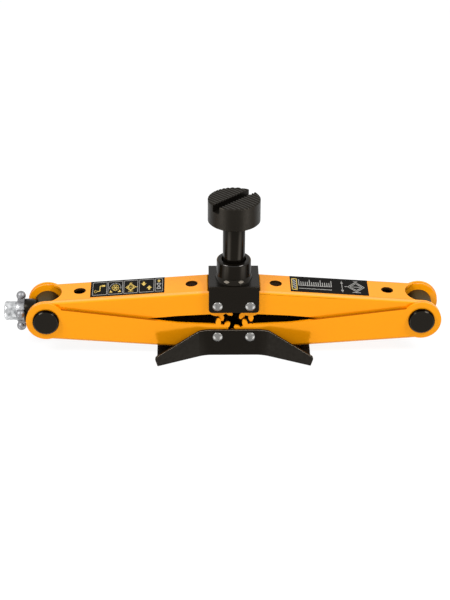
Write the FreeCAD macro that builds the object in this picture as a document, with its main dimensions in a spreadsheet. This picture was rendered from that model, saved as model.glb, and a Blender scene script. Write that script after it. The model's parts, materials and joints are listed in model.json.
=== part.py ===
import FreeCAD, Part
import os
import re
import Sketcher
from FreeCAD import Placement, Rotation, Vector

# Scissor jack, folded down to its lowest height, in millimetres.
# X runs along the screw with the drive end at -X, Y across the jack, Z up.
# The origin is the middle of the base plate's underside.

SIZES = {
    # Linkage
    "arm_length": 190,
    "pivot_spacing": 36,
    "rest_angle": 5.5,
    "base_pivot_height": 23.6,
    # Clearances
    "side_clearance": 0.3,
    "flange_gap": 1.2,
    "pin_clearance": 0.05,
    "screw_clearance": 0.1,
    "press_clearance": 0.02,
    # Arms
    "arm_sheet": 3,
    "arm_bend": 3.2,
    "upper_arm_width": 43.8,
    "upper_ear_radius": 21.7,
    "upper_heel_depth": 17.1,
    "upper_open_outer": 9.4,
    "upper_open_waist": 9.5,
    "upper_open_inner": 11.5,
    "lower_ear_radius": 22,
    "lower_heel_depth": 17.9,
    "lower_open_outer": 16.2,
    "lower_open_waist": 11.6,
    "lower_open_inner": 13.7,
    "waist_place": 145,
    "heel_length": 10,
    "web_setback": 9,
    "upper_scoop_edge": 9,
    "lower_scoop_edge": 11.5,
    "scoop_depth": 10,
    "web_hole_radius": 6.8,
    "web_hole_outer": 39,
    "web_hole_inner": 27,
    # Gear teeth on the arms' inner ends
    "gear_teeth": 10,
    "teeth_per_arm": 3,
    "pressure_angle": 25,
    "tooth_addendum": 2.7,
    "tooth_dedendum": 3.8,
    "tooth_backlash": 0.3,
    "tooth_crown": 0.4,
    "lower_tooth_phase": 15,
    "upper_tooth_phase": 21,
    # Rivets
    "rivet_radius": 4,
    "rivet_head_radius": 5.9,
    "rivet_head_height": 2.5,
    # Base plate
    "base_sheet": 3,
    "base_flange_height": 32,
    "base_bend_place": 31.8,
    "base_bend_radius": 34,
    "base_splay": 25.5,
    "base_end_top": 87.4,
    "base_end_bottom": 84,
    "base_slope_start": 38.5,
    "base_end_height": 11.7,
    "base_edge_radius": 2,
    "base_shoulder_radius": 12,
    "base_end_rounding": 3,
    # Top bracket
    "bracket_sheet": 4.5,
    "bracket_half_length": 27.7,
    "bracket_rise": 24.1,
    "bracket_drop": 7.8,
    "bracket_corner_radius": 4,
    "bracket_bend": 2,
    # Saddle
    "collar_radius": 19,
    "collar_height": 22.1,
    "collar_chamfer": 1.2,
    "weld_width": 1.3,
    "weld_height": 3.2,
    "funnel_radius": 13.8,
    "funnel_depth": 3.5,
    "post_radius": 12.3,
    "post_length": 68.5,
    "post_chamfer": 1.5,
    "spigot_radius": 9,
    "spigot_length": 11,
    "head_radius": 28.8,
    "head_height": 26.7,
    "head_chamfer": 1,
    "slot_width": 10,
    "slot_depth": 8,
    "slot_angle": 45,
    # Trunnions and screw
    "trunnion_radius": 14.6,
    "trunnion_proud": 4.6,
    "trunnion_chamfer": 2,
    "seat_distance": 11.4,
    "seat_width": 30,
    "screw_radius": 8,
    "screw_chamfer": 1.5,
    "screw_shoulder": 15.3,
    "screw_end": 12,
    "journal_radius": 7,
    # Thrust bearing
    "race_thickness": 5,
    "ball_radius": 1.6,
    "ball_count": 12,
    "ball_circle_radius": 9.7,
    "ball_clearance": 0.05,
    "cage_thickness": 1.6,
    "cover_radius": 13.3,
    "cover_wall": 1,
    # Drive coupling
    "coupling_gap": 0.1,
    "lug_hub_radius": 11.5,
    "lug_hub_length": 8.2,
    "lug_count": 4,
    "lug_circle_radius": 17.1,
    "lug_knob_radius": 5.2,
    "lug_setback": 3.8,
    "lug_neck_width": 7.5,
    "lug_turn": 15,
    "barrel_radius": 10.5,
    "barrel_length": 14,
    "relief_width": 0.8,
    "relief_depth": 0.5,
    "barrel_rounding": 2.5,
    "coupling_bore_depth": 15,
}

# Places that several pieces share, as formulas of the sizes
TRUNNION_X = "(pivot_spacing / 2 + arm_length * cos(rest_angle))"
TRUNNION_Z = "(base_pivot_height + arm_length * sin(rest_angle))"
BRACKET_Z = "(base_pivot_height + 2 * arm_length * sin(rest_angle))"
BRACKET_TOP = f"({BRACKET_Z} + bracket_rise)"
LOWER_INSIDE = "(upper_arm_width + 2 * flange_gap)"
LOWER_WIDTH = f"({LOWER_INSIDE} + 2 * arm_sheet)"
BRACKET_INSIDE = "(upper_arm_width + 2 * side_clearance)"
BRACKET_WIDTH = f"({BRACKET_INSIDE} + 2 * bracket_sheet)"
BASE_INSIDE = f"({LOWER_WIDTH} + 2 * side_clearance)"
BASE_WIDTH = f"({BASE_INSIDE} + 2 * base_sheet)"
PITCH_RADIUS = "(pivot_spacing / 2)"
ROOT_RADIUS = f"({PITCH_RADIUS} - tooth_dedendum)"
TIP_RADIUS = f"({PITCH_RADIUS} + tooth_addendum)"
BEARING_LENGTH = "(2 * race_thickness + 2 * ball_radius + 2 * ball_clearance)"
COUPLING_FACE = f"(seat_distance + {BEARING_LENGTH} + coupling_gap)"
COVER_INSIDE = "(cover_radius - cover_wall)"

doc = FreeCAD.newDocument("ScissorJack")
sheet = doc.addObject("Spreadsheet::Sheet", "Sizes")
for row, (name, size) in enumerate(SIZES.items(), start=1):
    sheet.set(f"A{row}", name)
    sheet.set(f"B{row}", str(size))
    sheet.setAlias(f"B{row}", name)
doc.recompute()


# Formulas and sketches


def tied(text):
    """The formula with each size's name turned into a reference to its cell."""
    return re.sub(r"[a-z_]+", lambda word: "Sizes." + word[0] if word[0] in SIZES else word[0], text)


def value(text):
    """What the formula comes to with the sizes as they stand."""
    return float(sheet.evalExpression(tied(text)))


def bind(thing, path, text):
    """Tie one property of an object to a formula."""
    thing.setExpression(path, tied(text))


def new_body(label, place=("0", "0", "0"), axis=None, angle="0"):
    """A body with its label, its place and an optional turn about an axis, all tied to the sizes."""
    body = doc.addObject("PartDesign::Body", label)
    body.Label = label
    if axis is not None:
        body.Placement = Placement(Vector(), Rotation(axis, value(angle)))
        bind(body, ".Placement.Rotation.Angle", angle)
    for letter, text in zip("xyz", place):
        bind(body, f".Placement.Base.{letter}", text)
    return body


def new_sketch(body, name, role, shift=("0", "0", "0"), turn=None):
    """A sketch on one of the body's origin planes, shifted and turned within that plane's own axes."""
    plane = next(feature for feature in body.Origin.OriginFeatures if feature.Role == role)
    sketch = body.newObject("Sketcher::SketchObject", name)
    sketch.AttachmentSupport = [(plane, "")]
    sketch.MapMode = "FlatFace"
    if turn is not None:
        sketch.AttachmentOffset = Placement(Vector(), Rotation(Vector(0, 0, 1), value(turn)))
        bind(sketch, ".AttachmentOffset.Rotation.Angle", turn)
    for letter, text in zip("xyz", shift):
        bind(sketch, f".AttachmentOffset.Base.{letter}", text)
    return sketch


def hold_point(sketch, curve, end, x, y):
    """Fix one point of a curve at a place given by formulas."""
    for kind, text in (("DistanceX", x), ("DistanceY", y)):
        rule = sketch.addConstraint(Sketcher.Constraint(kind, -1, 1, curve, end, value(text)))
        bind(sketch, f"Constraints[{rule}]", text)


def hold_radius(sketch, curve, radius):
    """Fix the radius of a circle or an arc."""
    rule = sketch.addConstraint(Sketcher.Constraint("Radius", curve, value(radius)))
    bind(sketch, f"Constraints[{rule}]", radius)


def arc_between(start, end, radius, hand):
    """The short arc from start to end whose centre lies on the given hand of the way there."""
    half = (end - start) / 2
    reach = (radius ** 2 - half.Length ** 2) ** 0.5
    across = Vector(-half.y, half.x, 0).normalize() * (1 if hand == "left" else -1)
    middle = start + half + across * (reach - radius)
    return Part.Arc(start, middle, end) if hand == "left" else Part.Arc(end, middle, start)


def outline(sketch, points):
    """A closed outline. A point is (x, y), or (x, y, hand, radius) where an arc starts from it."""
    places = [Vector(value(point[0]), value(point[1]), 0) for point in points]
    curves = []
    for number, point in enumerate(points):
        start = places[number]
        end = places[(number + 1) % len(points)]
        if len(point) == 2:
            curves.append((sketch.addGeometry(Part.LineSegment(start, end)), 1, 2))
            continue
        _, _, hand, radius = point
        curve = sketch.addGeometry(arc_between(start, end, value(radius), hand))
        hold_radius(sketch, curve, radius)
        curves.append((curve, 1, 2) if hand == "left" else (curve, 2, 1))
    for number, (curve, first, last) in enumerate(curves):
        following, its_first, _ = curves[(number + 1) % len(curves)]
        sketch.addConstraint(Sketcher.Constraint("Coincident", curve, last, following, its_first))
        hold_point(sketch, curve, first, points[number][0], points[number][1])


def rectangle(sketch, low_x, low_y, high_x, high_y):
    """A closed rectangle between two corners."""
    outline(sketch, [(low_x, low_y), (high_x, low_y), (high_x, high_y), (low_x, high_y)])


def circle(sketch, x, y, radius):
    """A full circle."""
    curve = sketch.addGeometry(Part.Circle(Vector(value(x), value(y), 0), Vector(0, 0, 1), value(radius)))
    hold_point(sketch, curve, 3, x, y)
    hold_radius(sketch, curve, radius)


def mirrored(points, side):
    """The same outline on the other side of x = 0 where side is -1."""
    hands = {"left": "right", "right": "left"}
    turned = []
    for point in points:
        moved = (f"{side} * ({point[0]})", point[1])
        if len(point) > 2:
            moved += (point[2] if side > 0 else hands[point[2]], point[3])
        turned.append(moved)
    return turned


# Features


def pad(body, name, sketch, length, symmetric=True):
    """Material over a sketch, half to each side of it or all on its normal's side."""
    feature = body.newObject("PartDesign::Pad", name)
    feature.Profile = sketch
    feature.SideType = "Symmetric" if symmetric else "One side"
    bind(feature, "Length", length)
    return feature


def pocket(body, name, sketch, length=None, symmetric=True, upward=False):
    """A cut over a sketch, of a length or right through."""
    feature = body.newObject("PartDesign::Pocket", name)
    feature.Profile = sketch
    feature.SideType = "Symmetric" if symmetric else "One side"
    feature.Reversed = upward
    if length is None:
        feature.Type = "ThroughAll"
    else:
        bind(feature, "Length", length)
    return feature


def revolve(body, name, sketch, axis):
    """A full turn of a sketch about its own vertical or horizontal axis."""
    feature = body.newObject("PartDesign::Revolution", name)
    feature.Profile = sketch
    feature.ReferenceAxis = (sketch, [axis])
    return feature


def around(body, name, originals, axis, count, spacing, reverse=False):
    """Copies of features about an axis, a fixed angle apart."""
    feature = body.newObject("PartDesign::PolarPattern", name)
    feature.Originals = originals
    feature.Axis = axis
    feature.Mode = "Spacing"
    feature.Reversed = reverse
    bind(feature, "Offset", spacing)
    bind(feature, "Occurrences", count)
    body.Tip = feature
    return feature


def dress(body, name, kind, base, wanted, size):
    """A fillet or chamfer on the edges of a feature that pass a test."""
    doc.recompute()
    names = [f"Edge{number}" for number, edge in enumerate(base.Shape.Edges, start=1) if wanted(edge)]
    feature = body.newObject(f"PartDesign::{kind}", name)
    feature.Base = (base, names)
    bind(feature, "Radius" if kind == "Fillet" else "Size", size)
    return feature


def near(first, second):
    """Two lengths that are the same but for rounding."""
    return abs(first - second) < 1e-4


def runs_along(edge, direction):
    """A straight edge that lies along a direction."""
    if len(edge.Vertexes) != 2 or not isinstance(edge.Curve, Part.Line):
        return False
    return abs(abs(edge.Curve.Direction * direction) - 1) < 1e-6


# Base plate


def base_plate():
    """A bow-tie plate with a floor and two flanges that splay outwards and slope down to leaning ends."""
    body = new_body("base_plate")
    wing_half = f"({BASE_WIDTH} / 2 + (base_end_top - base_bend_place) * tan(base_splay))"
    plan = new_sketch(body, "BasePlan", "XY_Plane")
    outline(plan, four_corners([("base_bend_place", f"{BASE_WIDTH} / 2"), ("base_end_top", wing_half)]))
    block = pad(body, "BaseBlock", plan, "base_flange_height", symmetric=False)
    bend_x = value("base_bend_place")
    upright = Vector(0, 0, 1)
    across = Vector(0, 1, 0)
    dress(
        body, "OuterBends", "Fillet", block,
        lambda edge: runs_along(edge, upright) and near(abs(edge.CenterOfMass.x), bend_x), "base_bend_radius",
    )
    inner_bend = "(base_bend_place + base_sheet * tan(base_splay / 2))"
    reach = "(base_end_top + base_sheet)"
    reach_half = f"({BASE_INSIDE} / 2 + ({reach} - {inner_bend}) * tan(base_splay))"
    trough = new_sketch(body, "BaseTrough", "XY_Plane", shift=("0", "0", "base_sheet"))
    outline(trough, four_corners([(inner_bend, f"{BASE_INSIDE} / 2"), (reach, reach_half)]))
    hollow = pocket(body, "BaseHollow", trough, "base_flange_height", symmetric=False, upward=True)
    inner_x = value(inner_bend)
    inner_y = value(f"{BASE_INSIDE} / 2")

    def inner_corner(edge):
        centre = edge.CenterOfMass
        return runs_along(edge, upright) and near(abs(centre.x), inner_x) and near(abs(centre.y), inner_y)

    dress(body, "InnerBends", "Fillet", hollow, inner_corner, "base_bend_radius + base_sheet")
    lean = "((base_end_top - base_end_bottom) / base_end_height)"
    above = "(base_flange_height + base_sheet)"
    profile = new_sketch(body, "BaseSlopes", "XZ_Plane")
    for side in (1, -1):
        outline(profile, mirrored([
            ("base_slope_start", "base_flange_height"),
            ("base_end_top", "base_end_height"),
            (f"base_end_bottom - base_sheet * {lean}", "-base_sheet"),
            (reach, "-base_sheet"),
            (reach, above),
            ("base_slope_start", above),
        ], side))
    sloped = pocket(body, "BaseSlopeCut", profile)
    shoulder_x = value("base_slope_start")
    shoulders = dress(
        body, "BaseShoulders", "Fillet", sloped,
        lambda edge: runs_along(edge, across) and near(abs(edge.CenterOfMass.x), shoulder_x), "base_shoulder_radius",
    )
    tip_x = value("base_end_top")
    dress(
        body, "BaseTips", "Fillet", shoulders,
        lambda edge: runs_along(edge, across) and near(abs(edge.CenterOfMass.x), tip_x), "base_end_rounding",
    )
    holes = new_sketch(body, "BaseRivetHoles", "XZ_Plane")
    for side in (1, -1):
        circle(holes, f"{side} * pivot_spacing / 2", "base_pivot_height", "rivet_radius + press_clearance")
    drilled = pocket(body, "BaseRivetCut", holes)

    def lower_rim(edge):
        on_floor = all(near(vertex.Point.z, 0) for vertex in edge.Vertexes)
        return on_floor and not runs_along(edge, across)

    dress(body, "BaseEdges", "Fillet", drilled, lower_rim, "base_edge_radius")


def four_corners(corner):
    """The outline of a plan that is the same in all four quarters, from the points of one quarter."""
    quarters = ((1, 1, corner), (1, -1, corner[::-1]), (-1, -1, corner), (-1, 1, corner[::-1]))
    return [(f"{across} * {x}", f"{along} * {y}") for across, along, points in quarters for x, y in points]


# Arms


def arm(
        label, side, level, width, ear_radius, heel_depth, scoop_edge,
        open_outer, open_waist, open_inner, phase):
    """A channel arm from its trunnion at its origin to its gear pivot.

    side is 1 where the arm points to +X and -1 where it points to -X. level is 1 on a lower arm, with its web
    below, and -1 on an upper arm, with its web on top. The teeth look towards the other pair of arms.
    """
    body = new_body(label, (f"{-side} * {TRUNNION_X}", "0", TRUNNION_Z), Vector(0, side * level, 0), "rest_angle")
    inside = f"({width} - 2 * arm_sheet)"

    def flank(points):
        return [(f"{side} * ({along})", f"{level} * ({depth})") for along, depth in points]

    shape = new_sketch(body, "ArmOutline", "XZ_Plane")
    outline(shape, flank([
        ("0", open_outer),
        ("waist_place", open_waist),
        ("arm_length", open_inner),
        ("arm_length", f"-{ROOT_RADIUS}"),
        ("arm_length - heel_length", f"-{heel_depth}"),
        ("0", f"-{ear_radius}"),
    ]))
    blank = pad(body, "ArmBlank", shape, width)
    half_arm = value("arm_length") / 2
    dress(
        body, "WebBends", "Fillet", blank,
        lambda edge: edge.Length > half_arm and edge.CenterOfMass.z * level < 0 and abs(edge.CenterOfMass.y) > 1,
        "arm_bend",
    )
    ear = new_sketch(body, "EarDisc", "XZ_Plane")
    circle(ear, "0", "0", ear_radius)
    pad(body, "Ear", ear, width)
    pivot = (f"{side} * arm_length", "0", "0")
    hub = new_sketch(body, "HubDisc", "XZ_Plane", shift=pivot)
    circle(hub, "0", "0", ROOT_RADIUS)
    pad(body, "Hub", hub, width)
    turn = f"{level} * ({phase} + rest_angle)"
    turn = turn if side > 0 else f"180 - {turn}"
    tooth = new_sketch(body, "ToothOutline", "XZ_Plane", shift=pivot, turn=turn)
    outline(tooth, tooth_points())
    first = pad(body, "Tooth", tooth, width)
    around(body, "Teeth", [first], (tooth, ["N_Axis"]), "teeth_per_arm", "360 / gear_teeth", side * level < 0)

    # The channel's hollow, with the web left on the far side from the teeth
    end = f"(arm_length + {TIP_RADIUS} + arm_sheet)"
    start = f"-({ear_radius} + arm_sheet)"
    fall = f"(({ear_radius} - {heel_depth}) / (arm_length - heel_length))"
    web_at = "-({0} - {1} * ({2})) + arm_sheet"
    hollow = new_sketch(body, "Hollow", "XZ_Plane")
    outline(hollow, flank([
        (start, web_at.format(ear_radius, fall, start)),
        (end, web_at.format(ear_radius, fall, end)),
        (end, f"{TIP_RADIUS} + {ear_radius}"),
        (start, f"{TIP_RADIUS} + {ear_radius}"),
    ]))
    pocket(body, "HollowCut", hollow, inside)

    # The web stops short of the pivot and has a round scoop beside the trunnion
    ends = new_sketch(body, "WebEnds", "XY_Plane")
    bow = f"(({inside} / 2) ^ 2 / (2 * scoop_depth) + scoop_depth / 2)"
    outline(ends, mirrored([
        (start, f"-{inside} / 2"),
        (scoop_edge, f"-{inside} / 2", "left", bow),
        (scoop_edge, f"{inside} / 2"),
        (start, f"{inside} / 2"),
    ], side))
    outline(ends, mirrored([
        ("arm_length - web_setback", f"-{inside} / 2"),
        (end, f"-{inside} / 2"),
        (end, f"{inside} / 2"),
        ("arm_length - web_setback", f"{inside} / 2"),
    ], side))
    pocket(body, "WebEndCut", ends)
    bores = new_sketch(body, "PivotBores", "XZ_Plane")
    circle(bores, "0", "0", "trunnion_radius + pin_clearance")
    circle(bores, f"{side} * arm_length", "0", "rivet_radius + pin_clearance")
    pocket(body, "PivotBoreCut", bores)
    if level < 0:
        openings = new_sketch(body, "WebHoles", "XY_Plane")
        circle(openings, f"{side} * web_hole_outer", "0", "web_hole_radius")
        circle(openings, f"{side} * (arm_length - web_hole_inner)", "0", "web_hole_radius")
        pocket(body, "WebHoleCut", openings)


def tooth_points():
    """One tooth along +x from the pivot: flanks through an involute's base, pitch and tip points, and a round crown."""
    def involute(angle):
        return f"(tan({angle}) * 180 / pi - {angle})"

    base_radius = f"({PITCH_RADIUS} * cos(pressure_angle))"
    tip_angle = f"(acos({base_radius} / {TIP_RADIUS}) / 1 deg)"
    at_pitch = f"(90 / gear_teeth - tooth_backlash / 2 / {PITCH_RADIUS} * 180 / pi)"
    at_base = f"({at_pitch} + {involute('pressure_angle')})"
    at_tip = f"({at_base} - {involute(tip_angle)})"
    inner = f"({ROOT_RADIUS} - tooth_backlash)"
    steps = [(inner, at_base), (base_radius, at_base), (PITCH_RADIUS, at_pitch), (TIP_RADIUS, at_tip)]
    lower = [(f"{radius} * cos({angle})", f"-{radius} * sin({angle})") for radius, angle in steps]
    upper = [(f"{radius} * cos({angle})", f"{radius} * sin({angle})") for radius, angle in steps[::-1]]
    half_tip = f"({TIP_RADIUS} * sin({at_tip}))"
    lower[-1] += ("left", f"(({half_tip} ^ 2 + tooth_crown ^ 2) / (2 * tooth_crown))")
    return lower + upper


def arms():
    """The four arms. Each pair's teeth are half a pitch apart, so that they mesh."""
    half_pitch = "180 / gear_teeth"
    lower = (LOWER_WIDTH, "lower_ear_radius", "lower_heel_depth", "lower_scoop_edge",
             "lower_open_outer", "lower_open_waist", "lower_open_inner")
    upper = ("upper_arm_width", "upper_ear_radius", "upper_heel_depth", "upper_scoop_edge",
             "upper_open_outer", "upper_open_waist", "upper_open_inner")
    arm("lower_arm_left", 1, 1, *lower, "lower_tooth_phase")
    arm("lower_arm_right", -1, 1, *lower, f"(lower_tooth_phase - {half_pitch})")
    arm("upper_arm_left", 1, -1, *upper, f"(upper_tooth_phase - {half_pitch})")
    arm("upper_arm_right", -1, -1, *upper, "upper_tooth_phase")


# Rivets


def rivet(label, side, height, grip):
    """A rivet across the jack with a domed head on each end."""
    body = new_body(label, (f"{side} * pivot_spacing / 2", "0", height))
    dome = "((rivet_head_radius ^ 2 + rivet_head_height ^ 2) / (2 * rivet_head_height))"
    profile = new_sketch(body, "RivetProfile", "XY_Plane")
    outline(profile, [
        ("0", f"-({grip} / 2 + rivet_head_height)", "left", dome),
        ("rivet_head_radius", f"-{grip} / 2"),
        ("rivet_radius", f"-{grip} / 2"),
        ("rivet_radius", f"{grip} / 2"),
        ("rivet_head_radius", f"{grip} / 2", "left", dome),
        ("0", f"{grip} / 2 + rivet_head_height"),
    ])
    revolve(body, "Rivet", profile, "V_Axis")


# Top bracket and saddle


def top_bracket():
    """An inverted U of plate over the upper arms' toothed ends."""
    body = new_body("top_bracket", ("0", "0", BRACKET_Z))
    side_view = new_sketch(body, "BracketSide", "XZ_Plane")
    rectangle(side_view, "-bracket_half_length", "-bracket_drop", "bracket_half_length", "bracket_rise")
    block = pad(body, "BracketBlock", side_view, BRACKET_WIDTH)
    low = value("-bracket_drop")
    rounded = dress(
        body, "BracketCorners", "Fillet", block,
        lambda edge: runs_along(edge, Vector(0, 1, 0)) and near(edge.CenterOfMass.z, low), "bracket_corner_radius",
    )
    high = value("bracket_rise")
    dress(
        body, "BracketBends", "Fillet", rounded,
        lambda edge: runs_along(edge, Vector(1, 0, 0)) and near(edge.CenterOfMass.z, high), "bracket_bend",
    )
    inner = new_sketch(body, "BracketInside", "XZ_Plane")
    reach = "(bracket_half_length + bracket_sheet)"
    rectangle(inner, f"-{reach}", "-(bracket_drop + bracket_sheet)", reach, "bracket_rise - bracket_sheet")
    pocket(body, "BracketHollow", inner, BRACKET_INSIDE)
    holes = new_sketch(body, "BracketRivetHoles", "XZ_Plane")
    for side in (1, -1):
        circle(holes, f"{side} * pivot_spacing / 2", "0", "rivet_radius + press_clearance")
    pocket(body, "BracketRivetCut", holes)


def saddle_collar():
    """The socket on the bracket, with a funnel mouth above and its weld below."""
    body = new_body("saddle_collar", ("0", "0", BRACKET_TOP))
    bore = "(post_radius + screw_clearance)"
    profile = new_sketch(body, "CollarProfile", "XZ_Plane")
    outline(profile, [
        (bore, "0"),
        ("collar_radius + weld_width", "0"),
        ("collar_radius", "weld_height"),
        ("collar_radius", "collar_height - collar_chamfer"),
        ("collar_radius - collar_chamfer", "collar_height"),
        ("funnel_radius", "collar_height"),
        (bore, "collar_height - funnel_depth"),
    ])
    revolve(body, "Collar", profile, "V_Axis")


def saddle_post():
    """The smooth post that turns in the collar, with a spigot for the head."""
    body = new_body("saddle_post", ("0", "0", BRACKET_TOP))
    profile = new_sketch(body, "PostProfile", "XZ_Plane")
    outline(profile, [
        ("0", "screw_clearance"),
        ("post_radius - post_chamfer", "screw_clearance"),
        ("post_radius", "screw_clearance + post_chamfer"),
        ("post_radius", "post_length"),
        ("spigot_radius", "post_length"),
        ("spigot_radius", "post_length + spigot_length"),
        ("0", "post_length + spigot_length"),
    ])
    revolve(body, "Post", profile, "V_Axis")


def saddle_head():
    """The round head with a straight slot across its top."""
    place = ("0", "0", f"{BRACKET_TOP} + post_length")
    body = new_body("saddle_head", place, Vector(0, 0, 1), "slot_angle")
    profile = new_sketch(body, "HeadProfile", "XZ_Plane")
    socket = "(spigot_radius + press_clearance)"
    socket_depth = "(spigot_length + press_clearance)"
    outline(profile, [
        (socket, "0"),
        ("head_radius - head_chamfer", "0"),
        ("head_radius", "head_chamfer"),
        ("head_radius", "head_height - head_chamfer"),
        ("head_radius - head_chamfer", "head_height"),
        ("0", "head_height"),
        ("0", socket_depth),
        (socket, socket_depth),
    ])
    revolve(body, "Head", profile, "V_Axis")
    slot = new_sketch(body, "HeadSlot", "XY_Plane", shift=("0", "0", "head_height"))
    reach = "(head_radius + head_chamfer)"
    rectangle(slot, f"-{reach}", "-slot_width / 2", reach, "slot_width / 2")
    pocket(body, "HeadSlotCut", slot, "slot_depth", symmetric=False)


# Trunnions, screw and bearing


def trunnion(label, side, bore, seated):
    """A cross bar through the ears, bored for the screw, with a flat for the bearing where it is seated."""
    body = new_body(label, (f"{side} * {TRUNNION_X}", "0", TRUNNION_Z))
    round_bar = new_sketch(body, "BarSection", "XZ_Plane")
    circle(round_bar, "0", "0", "trunnion_radius")
    bar = pad(body, "Bar", round_bar, f"{LOWER_WIDTH} + 2 * trunnion_proud")
    dress(body, "BarChamfers", "Chamfer", bar, lambda edge: isinstance(edge.Curve, Part.Circle), "trunnion_chamfer")
    if seated:
        flat = new_sketch(body, "BearingSeat", "XZ_Plane")
        past = "(trunnion_radius + trunnion_chamfer)"
        rectangle(flat, f"-{past}", f"-{past}", "-seat_distance", past)
        pocket(body, "BearingSeatCut", flat, "seat_width")
    cross = new_sketch(body, "ScrewBore", "YZ_Plane")
    circle(cross, "0", "0", bore)
    pocket(body, "ScrewBoreCut", cross)


def turned_part(label, points, axis=None, angle="0"):
    """A round part about the screw's axis, drawn from the left trunnion with +x towards the right one."""
    body = new_body(label, (f"-{TRUNNION_X}", "0", TRUNNION_Z), axis, angle)
    profile = new_sketch(body, "TurnedProfile", "XZ_Plane")
    outline(profile, points)
    revolve(body, "Turned", profile, "H_Axis")
    return body


def ring(label, inner, outer, start, length):
    """A plain ring about the screw's axis, from its distance outside the left trunnion."""
    end = f"-({start} + {length})"
    return turned_part(label, [(end, inner), (f"-({start})", inner), (f"-({start})", outer), (end, outer)])


def lead_screw():
    """The screw, with its journal through the left trunnion and the bearing into the coupling."""
    tip = f"(2 * {TRUNNION_X} + screw_end)"
    inner_end = f"-({COUPLING_FACE} + coupling_bore_depth - coupling_gap)"
    turned_part("lead_screw", [
        (inner_end, "0"),
        (tip, "0"),
        (tip, "screw_radius - screw_chamfer"),
        (f"{tip} - screw_chamfer", "screw_radius"),
        ("screw_shoulder", "screw_radius"),
        ("screw_shoulder", "journal_radius"),
        (inner_end, "journal_radius"),
    ])


def thrust_bearing():
    """Two races, a cage and its balls inside a plain cover."""
    bore = "(journal_radius + screw_clearance)"
    rim = f"({COVER_INSIDE} - screw_clearance)"
    middle = "(seat_distance + race_thickness + ball_clearance + ball_radius)"
    outer_start = f"(seat_distance + {BEARING_LENGTH} - race_thickness)"
    ring("thrust_race_inner", bore, rim, "seat_distance", "race_thickness")
    ring("thrust_race_outer", "(journal_radius + press_clearance)", rim, outer_start, "race_thickness")
    ring("bearing_cover", COVER_INSIDE, "cover_radius", "seat_distance", BEARING_LENGTH)
    cage = ring("thrust_cage", bore, rim, f"{middle} - cage_thickness / 2", "cage_thickness")
    window = new_sketch(cage, "BallWindow", "YZ_Plane")
    circle(window, "0", "ball_circle_radius", "ball_radius + screw_clearance")
    cut = pocket(cage, "BallWindowCut", window)
    x_axis = next(feature for feature in cage.Origin.OriginFeatures if feature.Role == "X_Axis")
    around(cage, "BallWindows", [cut], (x_axis, [""]), "ball_count", "360 / ball_count")
    balls = []
    for number in range(SIZES["ball_count"]):
        ball = doc.addObject("Part::Sphere", "ThrustBall")
        bind(ball, "Radius", "ball_radius")
        turn = f"360 * {number} / ball_count"
        bind(ball, ".Placement.Base.x", f"-({TRUNNION_X} + {middle})")
        bind(ball, ".Placement.Base.y", f"-ball_circle_radius * sin({turn})")
        bind(ball, ".Placement.Base.z", f"{TRUNNION_Z} + ball_circle_radius * cos({turn})")
        balls.append(ball)
    group = doc.addObject("Part::Compound", "thrust_balls")
    group.Label = "thrust_balls"
    group.Links = balls


def drive_coupling():
    """The drive end: a barrel, a relief groove and a ring of lugs for the crank handle, fixed on the journal."""
    back = f"({COUPLING_FACE} + lug_hub_length)"
    nose = f"({back} + barrel_length)"
    bore = "(journal_radius + press_clearance)"
    floor = f"({COUPLING_FACE} + coupling_bore_depth)"
    body = turned_part("drive_coupling", [
        (f"-{COUPLING_FACE}", bore),
        (f"-{COUPLING_FACE}", "lug_hub_radius"),
        (f"-{back}", "lug_hub_radius"),
        (f"-{back}", "barrel_radius - relief_depth"),
        (f"-({back} + relief_width)", "barrel_radius - relief_depth"),
        (f"-({back} + relief_width)", "barrel_radius"),
        (f"-({nose} - barrel_rounding)", "barrel_radius", "left", "barrel_rounding"),
        (f"-{nose}", "barrel_radius - barrel_rounding"),
        (f"-{nose}", "0"),
        (f"-{floor}", "0"),
        (f"-{floor}", bore),
    ], Vector(-1, 0, 0), "lug_turn")
    centre = f"({COUPLING_FACE} + lug_setback)"
    neck = new_sketch(body, "LugNeck", "YZ_Plane", shift=("0", "0", f"-{centre}"))
    rectangle(neck, "-lug_neck_width / 2", "(journal_radius + lug_hub_radius) / 2", "lug_neck_width / 2",
              "lug_circle_radius")
    stem = pad(body, "Neck", neck, "lug_neck_width")
    dome = new_sketch(body, "LugKnob", "XZ_Plane", shift=(f"-{centre}", "lug_circle_radius", "0"))
    outline(dome, [
        ("0", "-lug_knob_radius", "left", "lug_knob_radius"),
        ("lug_knob_radius", "0", "left", "lug_knob_radius"),
        ("0", "lug_knob_radius"),
    ])
    knob = revolve(body, "Knob", dome, "V_Axis")
    x_axis = next(feature for feature in body.Origin.OriginFeatures if feature.Role == "X_Axis")
    around(body, "Lugs", [stem, knob], (x_axis, [""]), "lug_count", "360 / lug_count")


# The whole jack

base_plate()
arms()
for end_name, end_side in (("left", -1), ("right", 1)):
    rivet(f"base_rivet_{end_name}", end_side, "base_pivot_height", BASE_WIDTH)
    rivet(f"bracket_rivet_{end_name}", end_side, BRACKET_Z, BRACKET_WIDTH)
top_bracket()
saddle_collar()
saddle_post()
saddle_head()
trunnion("trunnion_drive", -1, "journal_radius + screw_clearance", True)
trunnion("trunnion_nut", 1, "screw_radius + screw_clearance", False)
lead_screw()
thrust_bearing()
drive_coupling()
doc.recompute()

# Every object has to be sound, and every cut has to cut, before anything is written

for thing in doc.Objects:
    if "Invalid" in thing.State or "Error" in thing.State:
        raise RuntimeError(f"{thing.Label} ({thing.Name}) failed: {thing.State}")
    if thing.TypeId == "PartDesign::Pocket" and thing.Shape.Volume >= thing.BaseFeature.Shape.Volume:
        raise RuntimeError(f"{thing.Name} cuts nothing")

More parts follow.
